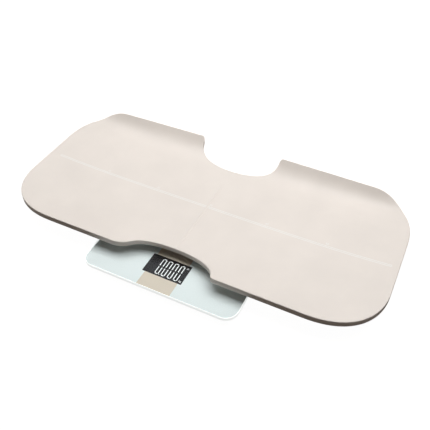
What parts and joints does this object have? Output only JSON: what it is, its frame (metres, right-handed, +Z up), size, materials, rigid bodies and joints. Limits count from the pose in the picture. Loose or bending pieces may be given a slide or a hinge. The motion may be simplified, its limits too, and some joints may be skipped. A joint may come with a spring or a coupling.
{
  "type": "digital bathroom scale",
  "caption": "Digital glass bathroom scale with an LCD readout, carrying a wide lift-off weighing tray with a raised rear lip, a printed ruler and edge cut-outs.",
  "frame": {"origin": "on the floor, under the middle of the whole object's bounding box", "axes": "+Z up, +X to the right along the tray's length when facing the display, -Y towards the display edge at the front"},
  "size_m": [0.632, 0.318, 0.0671],
  "materials": {
    "tempered_glass": "clear tempered glass, back-printed pale aqua white",
    "tray_plastic": "satin pinkish beige moulded plastic, fine texture",
    "underframe_plastic": "matte moulded plastic",
    "case_plastic": "matte off-white moulded plastic",
    "foot_plastic": "matte off-white moulded plastic",
    "rubber": "matte dark grey rubber",
    "spring_steel": "brushed",
    "screw_steel": "bright zinc plated",
    "cable_jacket": "satin black jacket",
    "lcd_glass": "glossy near black with white segments",
    "light_guide": "glossy white",
    "board_green": "green solder mask",
    "chip_black": "matte black",
    "elastomer": "striped silicone rubber",
    "cell_steel": "polished nickel-plated steel",
    "button_plastic": "matte slate plastic"
  },
  "bodies": {
    "base": {"glass_platform": "tempered_glass", "foot_housing_1": "foot_plastic", "foot_housing_2": "foot_plastic", "foot_housing_3": "foot_plastic", "foot_housing_4": "foot_plastic", "foot_cap_1": "foot_plastic", "foot_cap_2": "foot_plastic", "foot_cap_3": "foot_plastic", "foot_cap_4": "foot_plastic", "load_cell_1": "spring_steel", "load_cell_2": "spring_steel", "load_cell_3": "spring_steel", "load_cell_4": "spring_steel", "foot_sole_1": "rubber", "foot_sole_2": "rubber", "foot_sole_3": "rubber", "foot_sole_4": "rubber", "sensor_cable_1": "cable_jacket", "sensor_cable_2": "cable_jacket", "sensor_cable_3": "cable_jacket", "sensor_cable_4": "cable_jacket", "cable_clip_1": "foot_plastic", "cable_clip_2": "foot_plastic", "display_case": "case_plastic", "lcd_panel": "lcd_glass", "backlight_panel": "light_guide", "circuit_board": "board_green", "zebra_strip": "elastomer", "controller_chip": "chip_black", "unit_switch": "chip_black", "board_screw_1": "screw_steel", "board_screw_2": "screw_steel", "board_screw_3": "screw_steel", "board_screw_4": "screw_steel", "coin_cell_1": "cell_steel", "coin_cell_2": "cell_steel", "battery_contact_1": "spring_steel", "battery_contact_2": "spring_steel"},
    "weighing_tray": {"tray_shell": "tray_plastic", "tray_underframe": "underframe_plastic", "tray_pad_1": "rubber", "tray_pad_2": "rubber", "tray_pad_3": "rubber", "tray_pad_4": "rubber", "tray_screw_1": "screw_steel", "tray_screw_2": "screw_steel", "tray_screw_3": "screw_steel", "tray_screw_4": "screw_steel", "tray_screw_5": "screw_steel", "tray_screw_6": "screw_steel"},
    "door": {"battery_door": "case_plastic"},
    "unit_key": {"unit_button": "button_plastic"}
  },
  "joints": [
    {"name": "tray_lift", "type": "slide", "parent": "base", "child": "weighing_tray", "axis": [0, 0, 1], "range_m": [0, 0.12]},
    {"name": "battery_door_slide", "type": "slide", "parent": "base", "child": "door", "axis": [0, 1, 0], "range_m": [0, 0.033]},
    {"name": "unit_button_press", "type": "slide", "parent": "base", "child": "unit_key", "axis": [0, 0, 1], "range_m": [0, 0.0008], "stiffness_N_per_m": 300}
  ]
}
